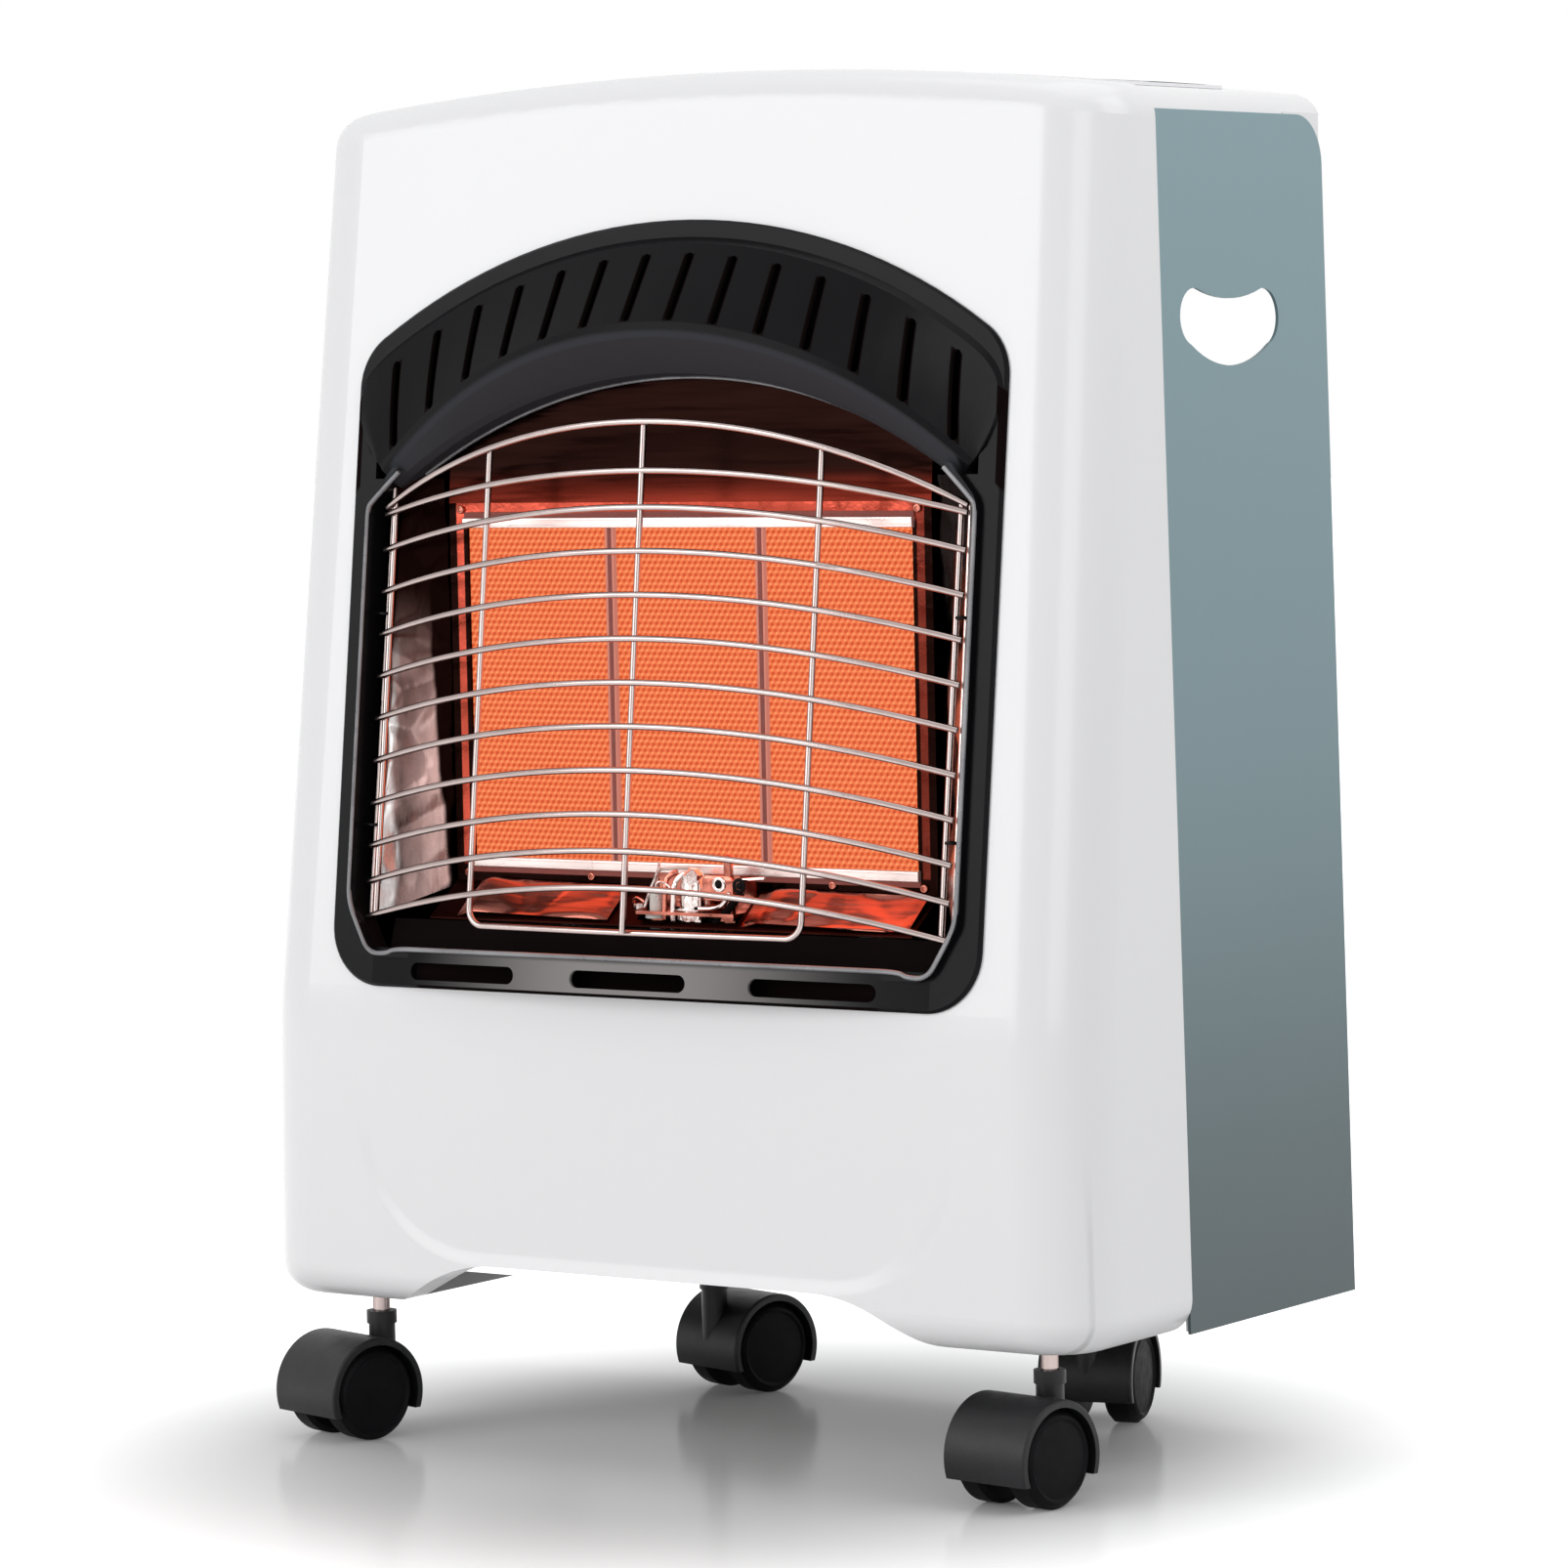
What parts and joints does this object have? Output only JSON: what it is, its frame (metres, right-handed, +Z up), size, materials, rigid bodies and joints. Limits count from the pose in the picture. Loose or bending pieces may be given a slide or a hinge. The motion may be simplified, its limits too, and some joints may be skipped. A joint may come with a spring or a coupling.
{
  "type": "portable gas cabinet heater",
  "caption": "Portable gas cabinet heater with an arched front shell, bowed black bezel, wire guard over glowing ceramic plaques, recessed controls and twin-wheel casters.",
  "frame": {"origin": "on the floor under the middle of the bounding box", "axes": "+Z up, -Y towards the heater's front, +X to the right of a viewer who faces the front"},
  "size_m": [0.4594, 0.2697, 0.635],
  "materials": {
    "white_enamel": "gloss",
    "grey_green_enamel": "satin",
    "top_enamel": "gloss",
    "black_resin": "satin",
    "bright_wire": "polished",
    "glowing_ceramic": "matte",
    "zinc_sheet": "satin",
    "polished_sheet": "polished",
    "cast_housing": "matte",
    "brass": "satin",
    "copper": "satin",
    "lead_sleeve": "matte",
    "white_porcelain": "satin",
    "black_plastic": "satin",
    "button_red": "satin",
    "chrome_steel": "polished",
    "screw_steel": "satin"
  },
  "bodies": {
    "cabinet": {"front_shell": "white_enamel", "left_side_panel": "grey_green_enamel", "right_side_panel": "grey_green_enamel", "top_cover": "top_enamel", "rear_cover": "grey_green_enamel", "base_plate": "zinc_sheet", "panel_screws": "screw_steel", "caster_sockets": "zinc_sheet", "bezel": "black_resin", "wire_guard": "bright_wire", "guard_clips": "black_resin", "ceramic_plaque_left": "glowing_ceramic", "ceramic_plaque_centre": "glowing_ceramic", "ceramic_plaque_right": "glowing_ceramic", "burner_housing_left": "cast_housing", "burner_housing_centre": "cast_housing", "burner_housing_right": "cast_housing", "plaque_frame": "polished_sheet", "heat_shield": "zinc_sheet", "reflector_left": "polished_sheet", "reflector_right": "polished_sheet", "reflector_bottom": "polished_sheet", "reflector_top": "polished_sheet", "mixer_tubes": "zinc_sheet", "gas_manifold": "zinc_sheet", "gas_jets": "brass", "pilot_bracket": "zinc_sheet", "pilot_burner": "brass", "thermocouple": "copper", "spark_electrode": "white_porcelain", "gas_pipe": "copper", "pilot_tube": "copper", "thermocouple_lead": "copper", "ignition_lead": "lead_sleeve", "control_panel": "black_plastic", "gas_valve": "brass", "hose_nozzle": "brass", "igniter_body": "black_plastic", "caster_stems": "chrome_steel"},
    "knob_push": {"spindle_bush": "brass"},
    "knob": {"control_knob": "black_plastic", "valve_spindle": "chrome_steel"},
    "igniter_button": {"igniter_button": "button_red"},
    "front_left_caster": {"front_left_caster_hood": "black_plastic", "front_left_caster_axle": "chrome_steel"},
    "front_left_wheel_a": {"front_left_wheel_a": "black_plastic"},
    "front_left_wheel_b": {"front_left_wheel_b": "black_plastic"},
    "front_right_caster": {"front_right_caster_hood": "black_plastic", "front_right_caster_axle": "chrome_steel"},
    "front_right_wheel_a": {"front_right_wheel_a": "black_plastic"},
    "front_right_wheel_b": {"front_right_wheel_b": "black_plastic"},
    "rear_left_caster": {"rear_left_caster_hood": "black_plastic", "rear_left_caster_axle": "chrome_steel"},
    "rear_left_wheel_a": {"rear_left_wheel_a": "black_plastic"},
    "rear_left_wheel_b": {"rear_left_wheel_b": "black_plastic"},
    "rear_right_caster": {"rear_right_caster_hood": "black_plastic", "rear_right_caster_axle": "chrome_steel"},
    "rear_right_wheel_a": {"rear_right_wheel_a": "black_plastic"},
    "rear_right_wheel_b": {"rear_right_wheel_b": "black_plastic"}
  },
  "joints": [
    {"name": "knob_push_slide", "type": "slide", "parent": "cabinet", "child": "knob_push", "axis": [0, 0, -1], "range_m": [0, 0.005], "stiffness_N_per_m": 900, "springref_m": -0.003},
    {"name": "knob_turn", "type": "hinge", "parent": "knob_push", "child": "knob", "pos_m": [0.095, 0.044, 0.605], "axis": [0, 0, 1], "range_deg": [0, 200]},
    {"name": "igniter_push", "type": "slide", "parent": "cabinet", "child": "igniter_button", "axis": [0, 0, -1], "range_m": [0, 0.006], "stiffness_N_per_m": 700, "springref_m": -0.003},
    {"name": "front_left_swivel", "type": "hinge", "parent": "cabinet", "child": "front_left_caster", "pos_m": [-0.187, -0.077, 0.05], "axis": [0, 0, 1], "continuous": true},
    {"name": "front_left_wheel_a_spin", "type": "hinge", "parent": "front_left_caster", "child": "front_left_wheel_a", "pos_m": [-0.19218, -0.09632, 0.022], "axis": [0.9659, -0.2588, 0], "continuous": true},
    {"name": "front_left_wheel_b_spin", "type": "hinge", "parent": "front_left_caster", "child": "front_left_wheel_b", "pos_m": [-0.19218, -0.09632, 0.022], "axis": [0.9659, -0.2588, 0], "continuous": true},
    {"name": "front_right_swivel", "type": "hinge", "parent": "cabinet", "child": "front_right_caster", "pos_m": [0.187, -0.077, 0.05], "axis": [0, 0, 1], "continuous": true},
    {"name": "front_right_wheel_a_spin", "type": "hinge", "parent": "front_right_caster", "child": "front_right_wheel_a", "pos_m": [0.18422, -0.09681, 0.022], "axis": [0.9903, -0.1392, 0], "continuous": true},
    {"name": "front_right_wheel_b_spin", "type": "hinge", "parent": "front_right_caster", "child": "front_right_wheel_b", "pos_m": [0.18422, -0.09681, 0.022], "axis": [0.9903, -0.1392, 0], "continuous": true},
    {"name": "rear_left_swivel", "type": "hinge", "parent": "cabinet", "child": "rear_left_caster", "pos_m": [-0.107, 0.084, 0.05], "axis": [0, 0, 1], "continuous": true},
    {"name": "rear_left_wheel_a_spin", "type": "hinge", "parent": "rear_left_caster", "child": "rear_left_wheel_a", "pos_m": [-0.10182, 0.10332, 0.022], "axis": [-0.9659, 0.2588, 0], "continuous": true},
    {"name": "rear_left_wheel_b_spin", "type": "hinge", "parent": "rear_left_caster", "child": "rear_left_wheel_b", "pos_m": [-0.10182, 0.10332, 0.022], "axis": [-0.9659, 0.2588, 0], "continuous": true},
    {"name": "rear_right_swivel", "type": "hinge", "parent": "cabinet", "child": "rear_right_caster", "pos_m": [0.107, 0.084, 0.05], "axis": [0, 0, 1], "continuous": true},
    {"name": "rear_right_wheel_a_spin", "type": "hinge", "parent": "rear_right_caster", "child": "rear_right_wheel_a", "pos_m": [0.10182, 0.10332, 0.022], "axis": [-0.9659, -0.2588, 0], "continuous": true},
    {"name": "rear_right_wheel_b_spin", "type": "hinge", "parent": "rear_right_caster", "child": "rear_right_wheel_b", "pos_m": [0.10182, 0.10332, 0.022], "axis": [-0.9659, -0.2588, 0], "continuous": true}
  ]
}
